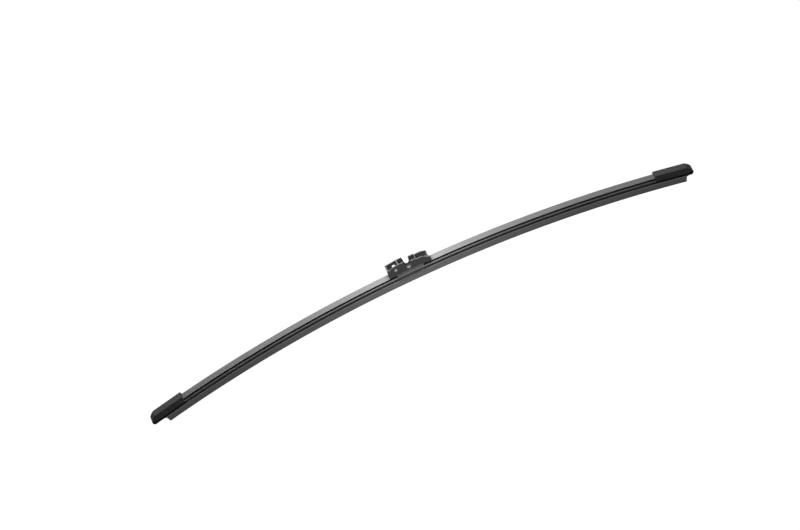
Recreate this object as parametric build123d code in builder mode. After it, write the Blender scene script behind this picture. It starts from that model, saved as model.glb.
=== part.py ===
from build123d import *
import os
from math import cos, degrees, radians, sin

os.makedirs("parts", exist_ok=True)

# Flat rear wiper blade, millimetres. X runs along the blade, Z up from the glass.
# The origin lies on the arm pin's axis, which runs along Y.

# Whole blade
blade_length = 400.0  # tip to tip along the bow
bow_radius = 918.0  # free bow at the rubber's back, before the blade is pressed on the glass
pin_above_back = 3.6  # pin axis above the rubber's back at the middle

# Wiper strip
strip_height = 10.4
strip_left_gap = 7.55  # blade tip to the rubber's end, along the bow
strip_right_gap = 2.8
cover_width = 6.4
cover_lip = 0.25  # the cover strip overhangs the rails with thin edges
cover_foot_width = 3.4
cover_thickness = 1.0
cover_edge = 0.1
neck_width = 2.0
flange_width = 5.8
flange_thickness = 1.4
web_width = 1.0
shoulder_width = 3.6
shoulder_height = 5.4  # shoulder's upper edge above the lip's edge
shoulder_fall = 0.3  # slope of the shoulder's top from the web outwards
shoulder_side = 0.5
lip_root_width = 0.95
lip_root_height = 1.1
lip_width = 0.7
lip_cut_depth = 2.2  # the lip is cut back at each end, to a hollow quarter ellipse
lip_cut_height = 5.4

# Spring rails
rail_ledge = 1.4  # rail seen beside the cover strip, on each side
rail_thickness = 0.9
rail_edge = 0.25
rail_end_gap = 3.0  # blade tip to rail end
groove_play = 0.05
notch_length = 3.0  # notches in the outer edges, at the middle and under the caps
notch_depth = 0.6
notch_from_tip = 11.0

# Rail clasp
clasp_length = 19.0
sheet = 0.8
clasp_play = 0.05  # clasp to rails and to the rubber's back
step_play = 0.1  # clasp to the cover strip's sides
bend_radius = 0.5  # at the middle of the sheet
claw_reach = 1.6  # lower leg of a claw, from the claw's outer face inwards
lug_x = 8.0
lug_width = 3.0
lug_fold = 1.6
window_length = 3.2  # opening over the rubber's back, below the pin seat
window_width = 4.2

# Arm adapter
adapter_width = 7.3
cheek = 0.95
rib = 0.8
floor = 0.8
adapter_play = 0.1  # adapter to the clasp
foot_gap = 0.15  # cheeks above the rubber's back
seat_radius = 1.68  # arm pin seat
mouth_width = 4.6
left_end_x = -14.6
left_foot_x = -14.8
ramp_start_x = -12.0
ramp_end_x = -10.4
left_rib_x = -6.1
right_rib_x = 6.1
crown_end_x = 5.7
flat_end_x = 11.0
right_end_x = 14.6
nose_end_x = 15.8
left_end_z = 3.3
left_top_z = 4.15
crown_z = 2.8
flat_z = 2.2
right_end_z = 1.05
front_low_z = 2.85  # the front cheek is cut lower, with a ramp at the left and a slope to its nose
front_slope_x = 10.4
front_end_z = -0.35
nose_tip_z = -1.5
nose_foot = 0.8
nose_width = 2.3
nose_round = 0.9
hole_x = -9.1
hole_z = 0.55
hole_radius = 1.2
crown_round = 0.8
corner_round = 0.5
outline_round = 0.2  # along the cheeks' outer faces

# End caps
cap_length = 26.3
cap_wall = 1.1  # outside of the rails
cap_top_width = 6.7
cap_above_back = 1.75
cap_below_rail = 1.15
cap_flank = 2.75  # height of the sloping flanks
cap_foot_inset = 0.15
cap_edge = 0.6
cap_nose_slope = 3.9
cap_nose_tuck = 0.6
cap_belly_drop = 0.6  # foremost line of the nose below the foot of the flanks
cap_corner_round = 1.8
cap_play = 0.12
cap_end_play = 0.4

# Derived levels and sizes
back_z = -pin_above_back
edge_z = back_z - strip_height
groove_height = rail_thickness + 2 * groove_play
groove_top_z = back_z - cover_thickness
groove_low_z = groove_top_z - groove_height
flange_low_z = groove_low_z - flange_thickness
shoulder_z = edge_z + shoulder_height
web_low_z = shoulder_z + shoulder_fall
rail_z = groove_top_z - groove_height / 2
rail_spread = cover_width + 2 * rail_ledge
rail_width = (rail_spread - neck_width) / 2 - groove_play
rail_y = (rail_spread - rail_width) / 2
strip_left = strip_left_gap - blade_length / 2
strip_right = blade_length / 2 - strip_right_gap
rail_reach = blade_length / 2 - rail_end_gap
notch_reach = blade_length / 2 - notch_from_tip
bow_center_z = back_z - bow_radius
bow_axis = Axis((0, 0, bow_center_z), (0, 1, 0))


def bow_turn(along):
    return degrees(along / bow_radius)


def on_bow(along, facing):
    # plane at a distance along the bow: across the blade, along its side or along its top
    turn = radians(bow_turn(along))
    start = (-bow_center_z * sin(turn), 0, bow_center_z * (1 - cos(turn)))
    forwards = (cos(turn), 0, -sin(turn))
    outwards = (sin(turn), 0, cos(turn))
    if facing == "across":
        return Plane(origin=start, x_dir=(0, 1, 0), z_dir=forwards)
    if facing == "side":
        return Plane(origin=start, x_dir=forwards, z_dir=(0, -1, 0))
    return Plane(origin=start, x_dir=forwards, z_dir=outwards)


# Wiper strip
with BuildPart() as wiper_strip:
    with BuildSketch(on_bow(strip_left, "across")) as strip_section:
        with BuildLine():
            Polyline(
                (0, back_z),
                (cover_width / 2, back_z),
                (cover_width / 2, back_z - cover_lip),
                (cover_foot_width / 2, groove_top_z),
                (neck_width / 2, groove_top_z),
                (neck_width / 2, groove_low_z),
                (flange_width / 2, groove_low_z),
                (flange_width / 2, flange_low_z),
                (web_width / 2, flange_low_z),
                (web_width / 2, web_low_z),
                (shoulder_width / 2, shoulder_z),
                (shoulder_width / 2, shoulder_z - shoulder_side),
                (lip_root_width / 2, edge_z + lip_root_height),
                (lip_width / 2, edge_z),
                (0, edge_z),
            )
            mirror(about=Plane.YZ)
        make_face()
        for side in (-1, 1):
            cover_corner = (side * cover_width / 2, back_z)
            fillet(strip_section.vertices().sort_by_distance(cover_corner)[0], cover_edge)
    revolve(axis=bow_axis, revolution_arc=bow_turn(strip_right - strip_left))
    for strip_end in (strip_left, strip_right):
        with BuildSketch(on_bow(strip_end, "side")):
            with Locations((0, edge_z)):
                Ellipse(lip_cut_depth, lip_cut_height)
        extrude(amount=shoulder_width, both=True, mode=Mode.SUBTRACT)
wiper_strip.part.label = "wiper_strip"
export_step(wiper_strip.part, "parts/wiper_strip.step")

# Spring rails, notched where the clasp and the caps lock
with BuildPart() as spring_rail_rear:
    with BuildSketch(on_bow(-rail_reach, "across")) as rail_section:
        with Locations((rail_y, rail_z)):
            Rectangle(rail_width, rail_thickness)
        fillet(rail_section.vertices().group_by(Axis.X)[-1], rail_edge)
    revolve(axis=bow_axis, revolution_arc=bow_turn(2 * rail_reach))
    for notch_at in (-notch_reach, 0, notch_reach):
        with BuildSketch(on_bow(notch_at, "top")):
            with Locations((0, rail_spread / 2)):
                Rectangle(notch_length, 2 * notch_depth)
        extrude(amount=2 * strip_height, both=True, mode=Mode.SUBTRACT)
spring_rail_rear.part.label = "spring_rail_rear"
export_step(spring_rail_rear.part, "parts/spring_rail_rear.step")

with BuildPart() as spring_rail_front:
    mirror(spring_rail_rear.part, about=Plane.XZ)
spring_rail_front.part.label = "spring_rail_front"
export_step(spring_rail_front.part, "parts/spring_rail_front.step")

# Rail clasp: a plate stepped down beside the cover strip and folded round both rails
plate_z = back_z + clasp_play + sheet / 2
plate_top_z = plate_z + sheet / 2
ledge_z = rail_z + rail_thickness / 2 + clasp_play + sheet / 2
under_z = rail_z - rail_thickness / 2 - clasp_play - sheet / 2
step_y = cover_width / 2 + step_play + sheet / 2
claw_y = rail_spread / 2 + clasp_play + sheet / 2
claw_tip_y = claw_y + sheet / 2 - claw_reach
dent_length = notch_length - 2 * step_play
dent_y = rail_spread / 2 - notch_depth + step_play
floor_z = plate_top_z + adapter_play
lug_fold_z = floor_z + floor + adapter_play + sheet / 2
lug_top_z = lug_fold_z + sheet / 2
lug_blank = lug_fold + lug_top_z - plate_top_z
with BuildPart() as rail_clasp:
    with BuildSketch(on_bow(-clasp_length / 2, "across")):
        with BuildLine():
            FilletPolyline(
                (-claw_tip_y, under_z),
                (-claw_y, under_z),
                (-claw_y, ledge_z),
                (-step_y, ledge_z),
                (-step_y, plate_z),
                (step_y, plate_z),
                (step_y, ledge_z),
                (claw_y, ledge_z),
                (claw_y, under_z),
                (claw_tip_y, under_z),
                radius=bend_radius,
            )
        trace(line_width=sheet)
    revolve(axis=bow_axis, revolution_arc=bow_turn(clasp_length))
    for side in (-1, 1):
        with Locations((0, side * (dent_y + claw_y) / 2, rail_z)):
            Box(dent_length, claw_y - dent_y, rail_thickness - 2 * rail_edge)
    with Locations((0, 0, plate_z)):
        Box(window_length, window_width, 3 * sheet, mode=Mode.SUBTRACT)
    for way in (-1, 1):
        with Locations((way * (lug_x - sheet / 2 - lug_blank / 2), 0, plate_z)):
            Box(lug_blank, lug_width + sheet, 3 * sheet, mode=Mode.SUBTRACT)
        with Locations((way * lug_x, 0, (plate_z + lug_top_z) / 2)):
            Box(sheet, lug_width, lug_top_z - plate_z)
        with Locations((way * (lug_x - sheet / 2 + lug_fold / 2), 0, lug_fold_z)):
            Box(lug_fold, lug_width, sheet)
rail_clasp.part.label = "rail_clasp"
export_step(rail_clasp.part, "parts/rail_clasp.step")

# Arm adapter: the front cheek's nose first, then the cheeks with their seat, ribs and floors
foot_z = back_z + foot_gap
roof_z = left_top_z + cheek
inner_width = adapter_width - 2 * cheek
front_y = -adapter_width / 2
nose_y = front_y + outline_round
with BuildPart() as adapter_nose:
    with BuildSketch(Plane.XZ.offset(-nose_y)):
        with BuildLine():
            Polyline(
                (right_end_x - cheek, foot_z),
                (right_end_x - cheek, front_end_z),
                (right_end_x, front_end_z),
                (nose_end_x, nose_tip_z),
                (nose_end_x, foot_z + nose_foot),
                (nose_end_x - nose_foot, foot_z),
                close=True,
            )
        make_face()
    extrude(amount=-nose_width)
    with BuildSketch(Plane.XY) as nose_plan:
        with Locations((0, nose_y + nose_width / 2)):
            Rectangle(2 * nose_end_x, nose_width)
        fillet(nose_plan.vertices(), nose_round)
    extrude(amount=pin_above_back, both=True, mode=Mode.INTERSECT)

with BuildPart() as arm_adapter:
    with BuildSketch(Plane.XZ) as cheek_face:
        with BuildLine():
            Polyline(
                (left_foot_x, foot_z),
                (left_end_x, left_end_z),
                (left_rib_x, left_top_z),
                (0, left_top_z),
                (0, crown_z),
                (crown_end_x, crown_z),
                (crown_end_x + corner_round, flat_z),
                (flat_end_x, flat_z),
                (right_end_x, right_end_z),
                (right_end_x, foot_z),
                close=True,
            )
        make_face()
        Circle(seat_radius, mode=Mode.SUBTRACT)
        with BuildLine():
            Polyline(
                (-seat_radius, 0),
                (-mouth_width / 2, roof_z),
                (mouth_width / 2, roof_z),
                (seat_radius, 0),
                close=True,
            )
        make_face(mode=Mode.SUBTRACT)
        fillet(cheek_face.vertices().sort_by_distance((mouth_width / 2, crown_z))[0], crown_round)
        fillet(cheek_face.vertices().sort_by_distance((-mouth_width / 2, left_top_z))[0], corner_round)
        fillet(cheek_face.vertices().sort_by_distance((flat_end_x, flat_z))[0], crown_round)
        with Locations((hole_x, hole_z)):
            Circle(hole_radius, mode=Mode.SUBTRACT)
    extrude(amount=adapter_width / 2, both=True)
    with BuildSketch(Plane.XZ.offset(-front_y)):
        with BuildLine():
            Polyline(
                (left_foot_x, front_low_z),
                (ramp_start_x, front_low_z),
                (ramp_end_x, left_top_z),
                (left_foot_x, left_top_z),
                close=True,
            )
        make_face()
        with BuildLine():
            Polyline(
                (front_slope_x, flat_z),
                (front_slope_x, roof_z),
                (nose_end_x, roof_z),
                (nose_end_x, front_end_z),
                (right_end_x, front_end_z),
                close=True,
            )
        make_face()
    extrude(amount=-(adapter_width - cheek), mode=Mode.SUBTRACT)
    for outer in (0, -1):
        outer_face = arm_adapter.faces().sort_by(Axis.Y)[outer]
        fillet(outer_face.outer_wire().edges(), outline_round)
    add(adapter_nose.part)
    hollows = (
        (left_end_x + cheek, left_rib_x - rib / 2, floor_z + floor),
        (left_rib_x + rib / 2, right_rib_x - rib / 2, foot_z),
        (right_rib_x + rib / 2, right_end_x - cheek, floor_z + floor),
    )
    for hollow_start, hollow_end, hollow_low in hollows:
        with BuildSketch(Plane.XY.offset(hollow_low)):
            with Locations(((hollow_start + hollow_end) / 2, 0)):
                RectangleRounded(hollow_end - hollow_start, inner_width, corner_round)
        extrude(amount=roof_z - hollow_low, mode=Mode.SUBTRACT)
    with Locations((0, 0, foot_z)):
        Box(
            clasp_length + 2 * adapter_play,
            2 * adapter_width,
            2 * (floor_z - foot_z),
            mode=Mode.SUBTRACT,
        )
    for way in (-1, 1):
        with Locations((way * lug_x, 0, floor_z)):
            Box(sheet + 2 * adapter_play, lug_width + 2 * adapter_play, 3 * floor, mode=Mode.SUBTRACT)
arm_adapter.part.label = "arm_adapter"
export_step(arm_adapter.part, "parts/arm_adapter.step")

# End caps: one moulding, used at both ends
cap_inner = blade_length / 2 - cap_length
cap_middle = blade_length / 2 - cap_length / 2
cap_width = rail_spread + 2 * cap_wall
cap_top_z = back_z + cap_above_back
cap_low_z = rail_z - rail_thickness / 2 - cap_below_rail
flank_z = cap_top_z - cap_flank
belly_z = flank_z - cap_belly_drop
nose_start = cap_length / 2 - cap_nose_slope
with BuildPart() as end_cap_right:
    with BuildSketch(on_bow(cap_middle, "across")):
        with BuildLine():
            Polyline(
                (0, cap_low_z),
                (cap_width / 2 - cap_foot_inset, cap_low_z),
                (cap_width / 2, flank_z),
                (cap_top_width / 2, cap_top_z),
                (0, cap_top_z),
            )
            mirror(about=Plane.YZ)
        make_face()
    extrude(amount=cap_length / 2, both=True)
    with BuildSketch(on_bow(cap_middle, "side")):
        with BuildLine():
            Polyline(
                (nose_start, cap_top_z),
                (cap_length / 2, belly_z),
                (cap_length / 2 - cap_nose_tuck, cap_low_z),
                (cap_length, cap_low_z),
                (cap_length, cap_top_z),
                close=True,
            )
        make_face()
    extrude(amount=cap_width, both=True, mode=Mode.SUBTRACT)
    nose_edges = end_cap_right.edges().filter_by_position(Axis.X, cap_middle, blade_length)
    fillet(nose_edges.filter_by(Axis.Y, reverse=True), cap_corner_round)
    nose_edges = end_cap_right.edges().filter_by_position(Axis.X, cap_middle, blade_length)
    long_edges = end_cap_right.edges().filter_by(lambda edge: edge.length > cap_length / 2)
    fillet(long_edges + nose_edges.filter_by(Axis.Y), cap_edge)
    with BuildSketch(on_bow(cap_inner - cap_play - cap_end_play, "across")):
        with Locations((0, rail_z)):
            Rectangle(rail_spread + 2 * cap_play, rail_thickness + 2 * cap_play)
        with Locations((0, (rail_z + back_z + cap_play) / 2)):
            Rectangle(cover_width + 2 * cap_play, back_z + cap_play - rail_z)
        with Locations((0, (rail_z + edge_z) / 2)):
            Rectangle(flange_width + 2 * cap_play, rail_z - edge_z)
    space_length = rail_reach + cap_end_play - cap_inner + cap_play + cap_end_play
    revolve(axis=bow_axis, revolution_arc=bow_turn(space_length), mode=Mode.SUBTRACT)
    peg_length = notch_length - 2 * cap_play
    peg_y = rail_spread / 2 - notch_depth + cap_play
    peg_root_y = rail_spread / 2 + cap_play + cap_foot_inset
    for side in (-1, 1):
        with BuildSketch(on_bow(notch_reach, "across")):
            with Locations((side * (peg_y + peg_root_y) / 2, rail_z)):
                Rectangle(peg_root_y - peg_y, rail_thickness + 2 * cap_play)
        extrude(amount=peg_length / 2, both=True)
end_cap_right.part.label = "end_cap_right"
export_step(end_cap_right.part, "parts/end_cap_right.step")

with BuildPart() as end_cap_left:
    add(end_cap_right.part, rotation=(0, 0, 180))
end_cap_left.part.label = "end_cap_left"
export_step(end_cap_left.part, "parts/end_cap_left.step")
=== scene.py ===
import math
import bmesh
import bpy
from mathutils import Matrix, Vector


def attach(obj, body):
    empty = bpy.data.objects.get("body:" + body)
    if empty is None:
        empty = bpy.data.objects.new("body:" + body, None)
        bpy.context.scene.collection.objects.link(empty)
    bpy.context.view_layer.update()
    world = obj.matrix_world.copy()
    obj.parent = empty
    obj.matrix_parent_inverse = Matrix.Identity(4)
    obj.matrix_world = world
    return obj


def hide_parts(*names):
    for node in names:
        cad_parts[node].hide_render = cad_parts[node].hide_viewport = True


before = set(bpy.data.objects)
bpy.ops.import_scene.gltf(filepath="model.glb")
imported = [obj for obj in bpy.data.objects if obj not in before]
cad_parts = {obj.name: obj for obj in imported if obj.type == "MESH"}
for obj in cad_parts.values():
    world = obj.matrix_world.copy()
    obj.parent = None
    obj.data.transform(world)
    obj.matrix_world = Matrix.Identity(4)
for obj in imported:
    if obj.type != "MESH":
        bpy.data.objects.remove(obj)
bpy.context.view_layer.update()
scene = bpy.context.scene
scene.view_settings.view_transform = "Standard"
mm = 0.001
white = (1, 1, 1, 1)
print("frame loaded:", len(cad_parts), "nodes")

# camera

cameraSet = {
    "elevation": 32.0,
    "roll": 25.0,
    "lens": 300.0,
    "sensor": 36.0,
    "clipEnd": 50.0,
    "mmPerPixel": 0.6617,
    "pinPixel": (407.3, 263.2),  # where the arm pin's axis falls in the picture
    "picture": (800, 530),
}


def makeCamera(s):
    tilt = math.radians(s["elevation"])
    roll = math.radians(s["roll"])
    flatRight = Vector((1, 0, 0))
    flatUp = Vector((0, math.sin(tilt), math.cos(tilt)))
    back = Vector((0, -math.cos(tilt), math.sin(tilt)))
    right = math.cos(roll) * flatRight - math.sin(roll) * flatUp
    up = math.sin(roll) * flatRight + math.cos(roll) * flatUp
    step = s["mmPerPixel"] * mm
    width, height = s["picture"]
    pinX, pinY = s["pinPixel"]
    aim = -right * (pinX - width / 2) * step - up * (height / 2 - pinY) * step
    data = bpy.data.cameras.new("photoCamera")
    data.lens = s["lens"]
    data.sensor_width = s["sensor"]
    data.clip_end = s["clipEnd"]
    camera = bpy.data.objects.new("photoCamera", data)
    scene.collection.objects.link(camera)
    place = Matrix((right, up, back)).transposed().to_4x4()
    place.translation = aim + back * (width * step * s["lens"] / s["sensor"])
    camera.matrix_world = place
    scene.camera = camera


makeCamera(cameraSet)
print("camera placed")

# the free bow that every long piece follows

bow = {"radius": 918 * mm, "pinAboveBack": 3.6 * mm}


def bowPoint(along, side, height):
    # along and height are measured at the rubber's back
    turn = along / bow["radius"]
    reach = bow["radius"] + height
    rise = reach * math.cos(turn) - bow["radius"] - bow["pinAboveBack"]
    return Vector((reach * math.sin(turn), side, rise))


# node helpers

def addNode(tree, kind, settings=None, sockets=None):
    node = tree.nodes.new(kind)
    for key, value in (settings or {}).items():
        setattr(node, key, value)
    for key, value in (sockets or {}).items():
        node.inputs[key].default_value = value
    return node


def addMath(tree, operation, first, second=None):
    node = addNode(tree, "ShaderNodeMath", {"operation": operation})
    for index, value in enumerate((first, second)):
        if value is None:
            continue
        if isinstance(value, (int, float)):
            node.inputs[index].default_value = value
        else:
            tree.links.new(value, node.inputs[index])
    return node.outputs[0]


def addSum(tree, values, shares):
    # each value times its share
    total = None
    for value, share in zip(values, shares):
        part = addMath(tree, "MULTIPLY", value, share)
        total = part if total is None else addMath(tree, "ADD", total, part)
    return total


def addBand(tree, height, top, low):
    # 1 between two heights
    below = addMath(tree, "LESS_THAN", height, top)
    above = addMath(tree, "GREATER_THAN", height, low)
    return addMath(tree, "MULTIPLY", below, above)


def addRange(tree, value, fromLow, fromHigh, toLow, toHigh):
    node = addNode(tree, "ShaderNodeMapRange", {"clamp": True})
    tree.links.new(value, node.inputs["Value"])
    limits = {"From Min": fromLow, "From Max": fromHigh, "To Min": toLow, "To Max": toHigh}
    for key, number in limits.items():
        node.inputs[key].default_value = number
    return node.outputs["Result"]


def addMix(tree, factor, first, second):
    node = addNode(tree, "ShaderNodeMix", {"data_type": "RGBA"})
    tree.links.new(factor, node.inputs["Factor"])
    for socket, value in ((node.inputs[6], first), (node.inputs[7], second)):  # the two colour sockets
        if isinstance(value, tuple):
            socket.default_value = (*value, 1)
        else:
            tree.links.new(value, socket)
    return node.outputs[2]


def addSplit(tree, vector):
    split = addNode(tree, "ShaderNodeSeparateXYZ")
    tree.links.new(vector, split.inputs[0])
    return split.outputs


def addJoin(tree, *parts):
    join = addNode(tree, "ShaderNodeCombineXYZ")
    for part, socket in zip(parts, join.inputs):
        tree.links.new(part, socket)
    return join.outputs[0]


def addNoise(tree, place, scale, sockets):
    noise = addNode(tree, "ShaderNodeTexNoise", {}, sockets)
    tree.links.new(place, noise.inputs["Vector"])
    tree.links.new(scale, noise.inputs["Scale"])
    return noise.outputs["Fac"]


def newGroup(name, inputs, outputs):
    group = bpy.data.node_groups.new(name, "ShaderNodeTree")
    for label, value in inputs.items():
        socket = group.interface.new_socket(label, in_out="INPUT", socket_type="NodeSocketFloat")
        socket.default_value = value
    for label, kind in outputs.items():
        group.interface.new_socket(label, in_out="OUTPUT", socket_type="NodeSocket" + kind)
    return group, group.nodes.new("NodeGroupInput").outputs, group.nodes.new("NodeGroupOutput").inputs


def placeGroup(tree, group, **sockets):
    return addNode(tree, "ShaderNodeGroup", {"node_tree": group}, sockets).outputs


# shared effects

def makeBowRun():
    # surface position straightened out: along the bow, across it and above the rubber's back
    group, _, outs = newGroup("bowRun", {}, {"Run": "Vector", "Height": "Float"})
    place = addSplit(group, addNode(group, "ShaderNodeTexCoord").outputs["Object"])
    rise = addMath(group, "ADD", place["Z"], bow["radius"] + bow["pinAboveBack"])
    turn = addMath(group, "ARCTAN2", place["X"], rise)
    along = addMath(group, "MULTIPLY", turn, bow["radius"])
    levelSquare = addMath(group, "POWER", place["X"], 2)
    riseSquare = addMath(group, "POWER", rise, 2)
    reach = addMath(group, "SQRT", addMath(group, "ADD", levelSquare, riseSquare))
    height = addMath(group, "SUBTRACT", reach, bow["radius"])
    group.links.new(addJoin(group, along, place["Y"], height), outs["Run"])
    group.links.new(height, outs["Height"])
    return group


bowRun = makeBowRun()

lineSet = {
    "inputs": {"Pitch": 2500.0, "Stretch": 0.01},
    "noise": {"Detail": 3.0, "Roughness": 0.55},
}


def makeDrawLines(s):
    # fine lines left along a drawn or extruded length
    group, ins, outs = newGroup("drawLines", s["inputs"], {"Line": "Float"})
    run = addSplit(group, placeGroup(group, bowRun)["Run"])
    along = addMath(group, "MULTIPLY", run["X"], ins["Stretch"])
    place = addJoin(group, along, run["Y"], run["Z"])
    group.links.new(addNoise(group, place, ins["Pitch"], s["noise"]), outs["Line"])
    return group


grainSet = {
    "inputs": {"Scale": 4000.0},
    "cells": {"Smoothness": 0.6},
    "noise": {"Detail": 2.0},
    "speckleScale": 2.3,  # finer than the cells by this
    "speckleShare": 0.5,  # of the height
}


def makeMouldGrain(s):
    # spark-eroded mould texture: shallow cells with a finer speckle
    group, ins, outs = newGroup("mouldGrain", s["inputs"], {"Height": "Float", "Tone": "Float"})
    place = addNode(group, "ShaderNodeTexCoord").outputs["Object"]
    cells = addNode(group, "ShaderNodeTexVoronoi", {"feature": "SMOOTH_F1"}, s["cells"])
    group.links.new(place, cells.inputs["Vector"])
    group.links.new(ins["Scale"], cells.inputs["Scale"])
    finer = addMath(group, "MULTIPLY", ins["Scale"], s["speckleScale"])
    speckle = addNoise(group, place, finer, s["noise"])
    raised = addMath(group, "MULTIPLY", speckle, s["speckleShare"])
    group.links.new(addMath(group, "ADD", cells.outputs["Distance"], raised), outs["Height"])
    group.links.new(speckle, outs["Tone"])
    return group


handlingSet = {
    "inputs": {"Scale": 120.0},
    "noise": {"Detail": 5.0, "Roughness": 0.6, "Distortion": 0.4},
    "clouds": (0.35, 0.68),  # noise from no film to full film
}


def makeHandling(s):
    # broad cloudy film from storage and handling
    group, ins, outs = newGroup("handling", s["inputs"], {"Film": "Float"})
    clouds = addNoise(group, placeGroup(group, bowRun)["Run"], ins["Scale"], s["noise"])
    group.links.new(addRange(group, clouds, *s["clouds"], 0, 1), outs["Film"])
    return group


dustAndTopLightSet = {
    "inputs": {"Scale": 900.0},
    "noise": {"Detail": 4.0, "Roughness": 0.65},
    "patches": (0.35, 0.65),
    "thinnest": 0.72,
    "facing": (0.7, 0.97),  # upward part of the normal, from bare to dusty and painted lit
}


def makeDustAndTopLight(s):
    # pale dust and painted top light on what faces up
    group, ins, outs = newGroup("dustAndTopLight", s["inputs"], {"DustAndLight": "Float"})
    facing = addSplit(group, addNode(group, "ShaderNodeNewGeometry").outputs["Normal"])["Z"]
    place = addNode(group, "ShaderNodeTexCoord").outputs["Object"]
    patches = addNoise(group, place, ins["Scale"], s["noise"])
    spread = addRange(group, patches, *s["patches"], s["thinnest"], 1)
    upwardShare = addRange(group, facing, *s["facing"], 0, 1)
    group.links.new(addMath(group, "MULTIPLY", upwardShare, spread), outs["DustAndLight"])
    return group


edgeSet = {
    "inputs": {"Radius": 0.1 * mm},
    "samples": 8,
    "turn": (0.72, 0.98),  # cosine of the normal's turn, from rubbed and painted lit to flat
}


def makeEdgeWearAndHighlight(s):
    # where edges are rubbed and carry a painted highlight, and the normal of a slightly rounded edge
    group, ins, outs = newGroup("edgeWearAndHighlight", s["inputs"], {"Edge": "Float", "Normal": "Vector"})
    rounded = addNode(group, "ShaderNodeBevel", {"samples": s["samples"]})
    group.links.new(ins["Radius"], rounded.inputs["Radius"])
    turn = addNode(group, "ShaderNodeVectorMath", {"operation": "DOT_PRODUCT"})
    group.links.new(rounded.outputs["Normal"], turn.inputs[0])
    group.links.new(addNode(group, "ShaderNodeNewGeometry").outputs["Normal"], turn.inputs[1])
    group.links.new(addRange(group, turn.outputs["Value"], *s["turn"], 1, 0), outs["Edge"])
    group.links.new(rounded.outputs["Normal"], outs["Normal"])
    return group


drawLines = makeDrawLines(lineSet)
mouldGrain = makeMouldGrain(grainSet)
handling = makeHandling(handlingSet)
dustAndTopLight = makeDustAndTopLight(dustAndTopLightSet)
edgeWearAndHighlight = makeEdgeWearAndHighlight(edgeSet)
print("shared effects made")

# finishes

def newFinish(name, level):
    material = bpy.data.materials.new(name)
    material.use_nodes = True
    tree = material.node_tree
    shader = tree.nodes["Principled BSDF"]
    shader.inputs["Specular IOR Level"].default_value = level
    return material, tree, shader


def addBump(tree, shader, height, s):
    bump = addNode(tree, "ShaderNodeBump", {}, {"Strength": s["bumpStrength"], "Distance": s["bumpDepth"]})
    tree.links.new(height, bump.inputs["Height"])
    tree.links.new(bump.outputs["Normal"], shader.inputs["Normal"])
    return bump


rubberSet = {
    "dark": (0.205, 0.205, 0.206),
    "pale": (0.285, 0.285, 0.285),
    "lipDark": (0.17, 0.17, 0.17),
    "lipTop": -9.1 * mm,  # the wiping edge is darker below this height
    "lipEdge": -10.3 * mm,
    "slotDark": (0.015, 0.015, 0.015),  # painted shade inside the rail slots
    "slotTop": -0.05 * mm,
    "slotLow": -2.05 * mm,
    "grooveDark": (0.065, 0.065, 0.065),  # painted shade in the groove above the shoulders
    "grooveLow": -5.07 * mm,
    "shoulderTop": -4.94 * mm,  # smooth skin along the shoulders' edges
    "shoulderLow": -5.7 * mm,
    "shoulderRough": 0.3,
    "shoulderCoat": 1.0,
    "rough": (0.52, 0.7),
    "level": 0.1,
    "linePitch": 2600.0,
    "lineStretch": 0.008,
    "filmScale": 150.0,
    "grainScale": 5200.0,
    "toneShares": (0.55, 0.2, 0.35),  # lines, film, grain
    "toneRange": (0.25, 0.9),
    "bumpShares": (0.8, 0.35),  # lines, grain
    "bumpDepth": 0.05 * mm,
    "bumpStrength": 0.5,
}


def makeRubber(name, s):
    material, tree, shader = newFinish(name, s["level"])
    lines = placeGroup(tree, drawLines, Pitch=s["linePitch"], Stretch=s["lineStretch"])["Line"]
    film = placeGroup(tree, handling, Scale=s["filmScale"])["Film"]
    grain = placeGroup(tree, mouldGrain, Scale=s["grainScale"])
    height = placeGroup(tree, bowRun)["Height"]
    tone = addSum(tree, (lines, film, grain["Tone"]), s["toneShares"])
    body = addMix(tree, addRange(tree, tone, *s["toneRange"], 0, 1), s["dark"], s["pale"])
    lip = addRange(tree, height, s["lipEdge"], s["lipTop"], 1, 0)
    body = addMix(tree, lip, body, s["lipDark"])
    # painted shade: the groove and the rail slots, shaded by the rails and the rubber's overhanging back,
    # are painted dark
    for part in ("groove", "slot"):
        shadedBand = addBand(tree, height, s["slotTop"], s[part + "Low"])
        body = addMix(tree, shadedBand, body, s[part + "Dark"])
    tree.links.new(body, shader.inputs["Base Color"])
    tree.links.new(addRange(tree, tone, *s["toneRange"], *s["rough"]), shader.inputs["Roughness"])
    skin = addBand(tree, height, s["shoulderTop"], s["shoulderLow"])
    tree.links.new(addMath(tree, "MULTIPLY", skin, s["shoulderCoat"]), shader.inputs["Coat Weight"])
    shader.inputs["Coat Roughness"].default_value = s["shoulderRough"]
    addBump(tree, shader, addSum(tree, (lines, grain["Height"]), s["bumpShares"]), s)
    return material


coatSet = {  # for rails and clasp alike
    "linePitch": 3200.0,
    "lineStretch": 0.03,
    "filmScale": 260.0,
    "grainScale": 7000.0,
    "toneShares": (0.6, 0.4),  # lines, film
    "toneRange": (0.2, 0.85),
    "bumpDepth": 0.02 * mm,
    "bumpStrength": 0.35,
}
railCoatSet = {
    **coatSet,
    "dark": (0.112, 0.112, 0.114),
    "pale": (0.184, 0.184, 0.186),
    "rough": (0.32, 0.5),
    "level": 0.08,
    "slotSide": 3.85 * mm,  # painted shade where the rubber overhangs
    "slotDark": (0.01, 0.01, 0.01),
}
claspCoatSet = {
    **coatSet,
    "dark": (0.044, 0.044, 0.045),
    "pale": (0.078, 0.078, 0.079),
    "rough": (0.34, 0.52),
    "level": 0.12,
    "edge": 0.1 * mm,
    "rubbedAndLit": (0.13, 0.13, 0.13),
    "lugLow": 1.9 * mm,  # the lugs are rubbed by the adapter
    "lugPale": (0.27, 0.27, 0.27),
}


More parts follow.
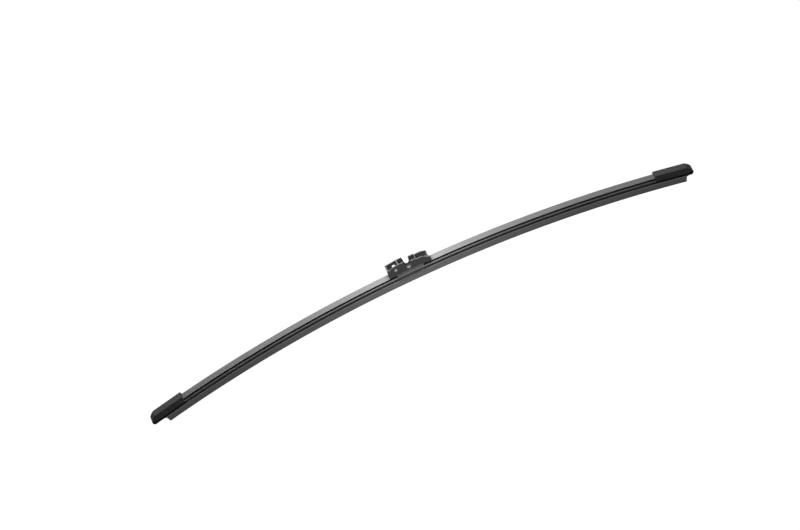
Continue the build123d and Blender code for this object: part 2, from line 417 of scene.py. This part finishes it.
def makeCoat(name, s):
    # thin black coat over drawn steel
    material, tree, shader = newFinish(name, s["level"])
    lines = placeGroup(tree, drawLines, Pitch=s["linePitch"], Stretch=s["lineStretch"])["Line"]
    film = placeGroup(tree, handling, Scale=s["filmScale"])["Film"]
    grain = placeGroup(tree, mouldGrain, Scale=s["grainScale"])
    tone = addSum(tree, (lines, film), s["toneShares"])
    coat = addMix(tree, addRange(tree, tone, *s["toneRange"], 0, 1), s["dark"], s["pale"])
    bump = addBump(tree, shader, addMath(tree, "ADD", lines, grain["Height"]), s)
    # painted shade: the rails' tops under the rubber's overhang are painted near black
    if "slotSide" in s:
        side = addMath(tree, "ABSOLUTE", addSplit(tree, placeGroup(tree, bowRun)["Run"])["Y"])
        coat = addMix(tree, addMath(tree, "LESS_THAN", side, s["slotSide"]), coat, s["slotDark"])
    # painted highlight: edges are paler, partly rubbed wear and partly painted light
    if "edge" in s:
        edge = placeGroup(tree, edgeWearAndHighlight, Radius=s["edge"])
        coat = addMix(tree, addMath(tree, "MULTIPLY", edge["Edge"], film), coat, s["rubbedAndLit"])
        tree.links.new(edge["Normal"], bump.inputs["Normal"])
    if "lugLow" in s:
        lug = addMath(tree, "GREATER_THAN", placeGroup(tree, bowRun)["Height"], s["lugLow"])
        coat = addMix(tree, lug, coat, s["lugPale"])
    tree.links.new(coat, shader.inputs["Base Color"])
    tree.links.new(addRange(tree, tone, *s["toneRange"], *s["rough"]), shader.inputs["Roughness"])
    return material


plasticSet = {  # for adapter and caps alike
    "filmScale": 190.0,
    "dustScale": 900.0,
    "toneShares": (0.6, 0.4),  # grain, film
    "toneRange": (0.2, 0.8),
    "edge": 0.12 * mm,
    "wornLeast": 0.35,
    "bumpDepth": 0.04 * mm,
    "bumpStrength": 0.28,
}
adapterPlasticSet = {
    **plasticSet,
    "dark": (0.034, 0.034, 0.035),
    "pale": (0.055, 0.055, 0.056),
    "rubbedAndLit": (0.12, 0.12, 0.12),
    "dustyAndLit": (0.19, 0.19, 0.19),
    "dustAndLightShare": 0.55,
    "rough": (0.4, 0.58),
    "level": 0.15,
    "grainScale": 4200.0,
}
capPlasticSet = {
    **plasticSet,
    "dark": (0.03, 0.03, 0.031),
    "pale": (0.049, 0.049, 0.05),
    "rubbedAndLit": (0.07, 0.07, 0.07),
    "dustyAndLit": (0.165, 0.165, 0.165),
    "dustAndLightShare": 0.65,
    "rough": (0.45, 0.62),
    "level": 0.03,
    "grainScale": 3600.0,
    "sideTop": -1.2 * mm,  # painted shade on the sides under the flanks
    "sideLow": -1.6 * mm,
    "sideShade": (0.005, 0.005, 0.005),
}


def makePlastic(name, s):
    material, tree, shader = newFinish(name, s["level"])
    grain = placeGroup(tree, mouldGrain, Scale=s["grainScale"])
    film = placeGroup(tree, handling, Scale=s["filmScale"])["Film"]
    edge = placeGroup(tree, edgeWearAndHighlight, Radius=s["edge"])
    tone = addSum(tree, (grain["Tone"], film), s["toneShares"])
    body = addMix(tree, addRange(tree, tone, *s["toneRange"], 0, 1), s["dark"], s["pale"])
    # painted highlight: edges are paler, partly rubbed wear and partly painted light
    worn = addMath(tree, "MULTIPLY", edge["Edge"], addRange(tree, film, 0, 1, s["wornLeast"], 1))
    body = addMix(tree, worn, body, s["rubbedAndLit"])
    # dust and painted top light: faces that look up are painted paler
    upwardShare = placeGroup(tree, dustAndTopLight, Scale=s["dustScale"])["DustAndLight"]
    body = addMix(tree, addMath(tree, "MULTIPLY", upwardShare, s["dustAndLightShare"]), body, s["dustyAndLit"])
    # painted shade: the caps' sides below the flanks are painted near black
    if "sideShade" in s:
        side = addRange(tree, placeGroup(tree, bowRun)["Height"], s["sideLow"], s["sideTop"], 1, 0)
        body = addMix(tree, side, body, s["sideShade"])
    tree.links.new(body, shader.inputs["Base Color"])
    tree.links.new(addRange(tree, tone, *s["toneRange"], *s["rough"]), shader.inputs["Roughness"])
    bump = addBump(tree, shader, grain["Height"], s)
    tree.links.new(edge["Normal"], bump.inputs["Normal"])
    return material


finishes = {
    "rubber": makeRubber("extrudedRubber", rubberSet),
    "rail": makeCoat("railCoat", railCoatSet),
    "clasp": makeCoat("claspCoat", claspCoatSet),
    "adapter": makePlastic("adapterPlastic", adapterPlasticSet),
    "cap": makePlastic("capPlastic", capPlasticSet),
}
nodeFinish = {
    "wiper_strip": "rubber",
    "spring_rail_front": "rail",
    "spring_rail_rear": "rail",
    "rail_clasp": "clasp",
    "arm_adapter": "adapter",
    "end_cap_left": "cap",
    "end_cap_right": "cap",
}
for node, finish in nodeFinish.items():
    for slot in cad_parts[node].material_slots:
        slot.material = finishes[finish]
print("finishes made:", len(finishes))

# mesh helpers

sweepSet = {
    "cornerSteps": 4,
    "weld": 0.0001 * mm,
    "sharpAngle": 35.0,
}


def roundOutline(corners, steps):
    # closed outline of (side, height, radius) corners in millimetres, with the corners rounded
    points = []
    for index, (side, height, radius) in enumerate(corners):
        here = Vector((side, height))
        if radius == 0:
            points.append(here * mm)
            continue
        toLast = (Vector(corners[index - 1][:2]) - here).normalized()
        toNext = (Vector(corners[(index + 1) % len(corners)][:2]) - here).normalized()
        half = toLast.angle(toNext) / 2
        centre = here + (toLast + toNext).normalized() * radius / math.sin(half)
        start = here + toLast * radius / math.tan(half) - centre
        bend = start.angle_signed(here + toNext * radius / math.tan(half) - centre)
        for step in range(steps + 1):
            points.append((centre + Matrix.Rotation(-bend * step / steps, 2) @ start) * mm)
    return points


def sweepBow(name, rings, s):
    # rings are (along, outline) in order along the bow, all with the same number of points
    bm = bmesh.new()
    loops = [[bm.verts.new(bowPoint(along, *point)) for point in outline] for along, outline in rings]
    count = len(loops[0])
    for near, far in zip(loops, loops[1:]):
        for index in range(count):
            other = (index + 1) % count
            bm.faces.new((near[index], near[other], far[other], far[index]))
    bm.faces.new(loops[0])
    bm.faces.new(loops[-1])
    bmesh.ops.remove_doubles(bm, verts=bm.verts, dist=s["weld"])
    bmesh.ops.recalc_face_normals(bm, faces=bm.faces)
    mesh = bpy.data.meshes.new(name)
    bm.to_mesh(mesh)
    bm.free()
    mesh.polygons.foreach_set("use_smooth", [True] * len(mesh.polygons))
    mesh.set_sharp_from_angle(angle=math.radians(s["sharpAngle"]))
    piece = bpy.data.objects.new(name, mesh)
    scene.collection.objects.link(piece)
    return piece


def settle(piece, finish, slot, *nodes):
    piece.data.materials.append(finishes[finish])
    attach(piece, "root")
    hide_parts(*nodes)


def evenly(start, end, step):
    count = math.ceil((end - start) / step)
    return [start + (end - start) * index / count for index in range(count + 1)]


# wiper strip

stripSet = {
    "start": -192.45 * mm,
    "end": 197.2 * mm,
    "step": 1.5 * mm,
    "cutDepth": 2.2 * mm,
    "cutHeight": 5.4 * mm,
    "cutSteps": 14,
    "half": (  # one half of the section: side, height, rounding
        (3.2, 0, 0.1),
        (3.2, -0.25, 0.08),
        (1.7, -1.0, 0.1),
        (1.0, -1.0, 0),
        (1.0, -2.0, 0),
        (2.9, -2.0, 0.15),
        (2.9, -3.4, 0.2),
        (0.5, -3.4, 0.15),
        (0.5, -4.7, 0.15),
        (1.8, -5.0, 0.2),
        (1.8, -5.5, 0.3),
        (0.475, -9.3, 0),
        (0.35, -10.39, 0.08),  # wiping edge
    ),
}


def makeStrip(s):
    half = list(s["half"])
    otherHalf = [(-side, height, radius) for side, height, radius in reversed(half)]
    outline = roundOutline(half + otherHalf, sweepSet["cornerSteps"])
    lip = half[-1][1] * mm

    def raised(level):
        return [(point.x, max(point.y, lip + level)) for point in outline]

    # each end of the lip is cut back to a hollow quarter ellipse
    turns = [math.pi / 2 * step / s["cutSteps"] for step in range(s["cutSteps"] + 1)]
    cut = [(s["cutDepth"] * math.sin(turn), s["cutHeight"] * math.cos(turn)) for turn in turns]
    rings = [(s["start"] + depth, raised(level)) for depth, level in cut]
    run = evenly(s["start"] + s["cutDepth"], s["end"] - s["cutDepth"], s["step"])
    rings += [(along, raised(0)) for along in run[1:-1]]
    rings += [(s["end"] - depth, raised(level)) for depth, level in reversed(cut)]
    strip = sweepBow("wiperStrip", rings, sweepSet)
    settle(strip, "rubber", "rubber", "wiper_strip")


makeStrip(stripSet)
print("wiper strip swept")

# spring rails

railSet = {
    "reach": 197.0 * mm,
    "step": 1.5 * mm,
    "inner": 1.05,  # section in millimetres
    "outer": 4.6,
    "top": -1.05,
    "low": -1.95,
    "outerRound": 0.25,
    "innerRound": 0.1,
    "notchDepth": 0.6 * mm,
    "notchLength": 3.0 * mm,
    "notchPlaces": (-189.0 * mm, 0, 189.0 * mm),
}


def makeRail(s, name, node, way):
    corners = (
        (s["inner"], s["top"], s["innerRound"]),
        (s["outer"], s["top"], s["outerRound"]),
        (s["outer"], s["low"], s["outerRound"]),
        (s["inner"], s["low"], s["innerRound"]),
    )
    outline = roundOutline(corners, sweepSet["cornerSteps"])
    full = [(way * point.x, point.y) for point in outline]
    limit = s["outer"] * mm - s["notchDepth"]
    notched = [(way * min(point.x, limit), point.y) for point in outline]
    rings = []
    start = -s["reach"]
    for place in s["notchPlaces"]:
        notchStart = place - s["notchLength"] / 2
        notchEnd = place + s["notchLength"] / 2
        rings += [(along, full) for along in evenly(start, notchStart, s["step"])]
        rings += [(notchStart, notched), (notchEnd, notched)]
        start = notchEnd
    rings += [(along, full) for along in evenly(start, s["reach"], s["step"])]
    settle(sweepBow(name, rings, sweepSet), "rail", "rail_steel", node)


makeRail(railSet, "springRailFront", "spring_rail_front", -1)
makeRail(railSet, "springRailRear", "spring_rail_rear", 1)
print("spring rails swept")

# stage

stageSet = {
    "fill": 0.085,
    "floorDrop": 0.42,
    "floorSize": 12.0,
    "floorColour": (0.9, 0.9, 0.9),
    "floorRough": 0.9,
    "floorGlow": 1.27,  # white where it is seen directly
    "glowShare": 0.8,  # the rest keeps the shadow
    "panels": (  # name, power, size, place, aim
        ("overheadPanel", 0.356, (0.4, 0.1), (0.0, -0.005, 0.155), (0.0, 0.0, 0.0)),
        ("middlePanel", 0.0389, (0.04, 0.03), (0.0, 0.0, 0.06), (0.0, 0.0, 0.0)),
        ("frontPanel", 0.046, (0.05, 0.03), (0.0, -0.067, 0.05), (0.0, 0.0, -0.005)),
        ("frontCard", 0.11, (0.4, 0.06), (0.0, -0.25, 0.06), (0.0, 0.0, -0.01)),
        ("backCard", 0.09, (0.4, 0.06), (0.0, 0.25, 0.08), (0.0, 0.0, -0.01)),
    ),
}


def seenDirectly(tree):
    # camera, glossy and transmission rays see the plain white studio
    path = addNode(tree, "ShaderNodeLightPath").outputs
    seen = addMath(tree, "MAXIMUM", path["Is Camera Ray"], path["Is Glossy Ray"])
    return addMath(tree, "MAXIMUM", seen, path["Is Transmission Ray"])


def makeWorld(s):
    world = bpy.data.worlds.new("whiteStudio")
    scene.world = world
    world.use_nodes = True
    tree = world.node_tree
    light = tree.nodes["Background"]
    light.inputs["Color"].default_value = white
    tree.links.new(addRange(tree, seenDirectly(tree), 0, 1, s["fill"], 1), light.inputs["Strength"])


def makeFloor(s):
    bm = bmesh.new()
    bmesh.ops.create_grid(bm, x_segments=2, y_segments=2, size=s["floorSize"] / 2)
    mesh = bpy.data.meshes.new("studioFloor")
    bm.to_mesh(mesh)
    bm.free()
    floor = bpy.data.objects.new("studioFloor", mesh)
    scene.collection.objects.link(floor)
    floor.location = (0, 0, -s["floorDrop"])
    material, tree, shader = newFinish("paleFloor", 0)
    shader.inputs["Base Color"].default_value = (*s["floorColour"], 1)
    shader.inputs["Roughness"].default_value = s["floorRough"]
    glow = addNode(tree, "ShaderNodeEmission", {}, {"Color": white, "Strength": s["floorGlow"]})
    blend = addNode(tree, "ShaderNodeMixShader")
    tree.links.new(addMath(tree, "MULTIPLY", seenDirectly(tree), s["glowShare"]), blend.inputs["Fac"])
    tree.links.new(shader.outputs["BSDF"], blend.inputs[1])
    tree.links.new(glow.outputs["Emission"], blend.inputs[2])
    tree.links.new(blend.outputs["Shader"], tree.nodes["Material Output"].inputs["Surface"])
    mesh.materials.append(material)


def makePanels(s):
    for name, power, size, place, aim in s["panels"]:
        data = bpy.data.lights.new(name, "AREA")
        data.shape = "RECTANGLE"
        data.size, data.size_y = size
        data.energy = power
        panel = bpy.data.objects.new(name, data)
        scene.collection.objects.link(panel)
        panel.location = place
        panel.rotation_euler = (Vector(aim) - Vector(place)).to_track_quat("-Z", "Y").to_euler()
        panel.visible_camera = False


makeWorld(stageSet)
makeFloor(stageSet)
makePanels(stageSet)
print("stage lit")
